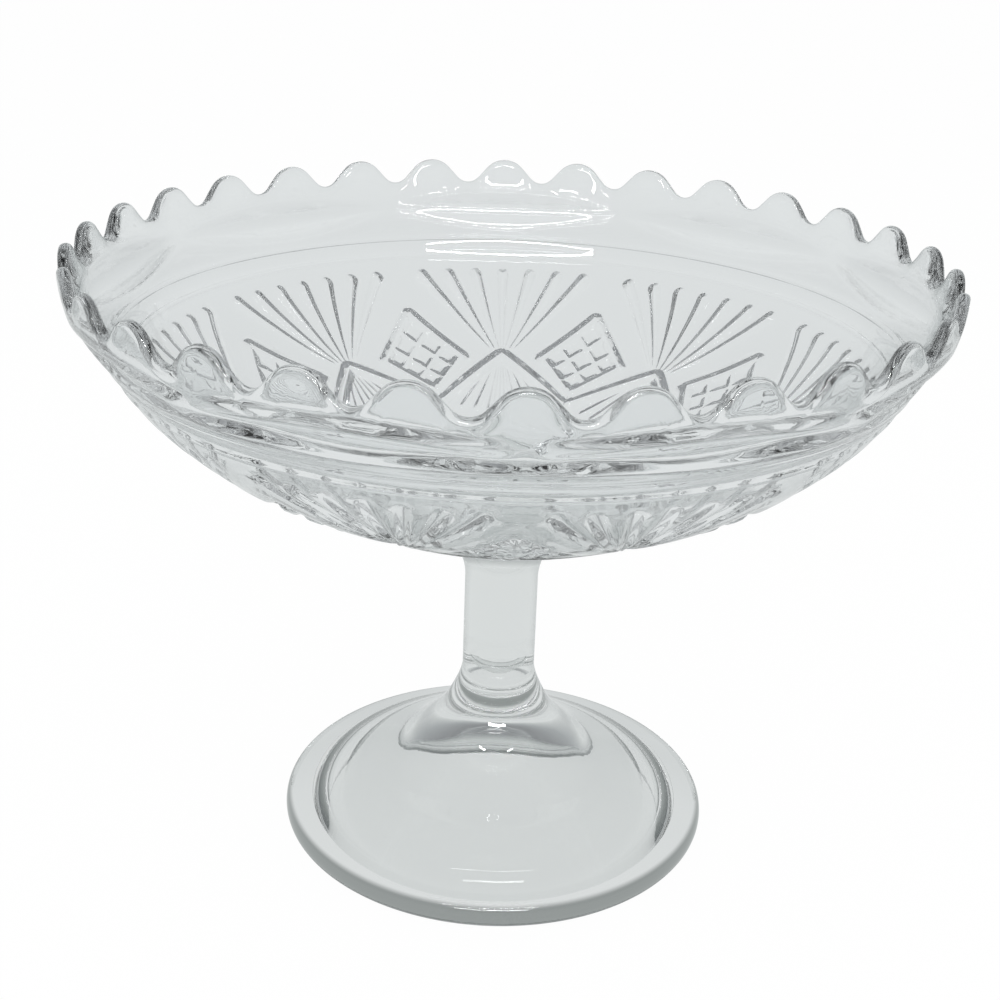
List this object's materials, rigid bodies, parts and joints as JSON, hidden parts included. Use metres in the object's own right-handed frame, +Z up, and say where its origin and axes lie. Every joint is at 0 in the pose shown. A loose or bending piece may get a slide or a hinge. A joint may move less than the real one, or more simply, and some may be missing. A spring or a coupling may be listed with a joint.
{
  "type": "footed bowl",
  "caption": "Footed bowl of clear pressed glass with a scalloped rim, fans and diamonds cut round its outside, a round stem and a domed foot.",
  "frame": {"origin": "centre of the ring under the foot, on the table", "axes": "+Z up along the stem, +Y through the middle of a panel of the bowl and the tip of a rim lobe, -Y through the corner between two panels and the tip of another lobe"},
  "size_m": [0.2194, 0.22, 0.1625],
  "materials": {
    "bowl_glass": "polished",
    "stem_glass": "polished"
  },
  "bodies": {
    "root": {"bowl": "bowl_glass", "collar": "stem_glass", "stem": "stem_glass", "foot": "stem_glass"}
  },
  "joints": []
}
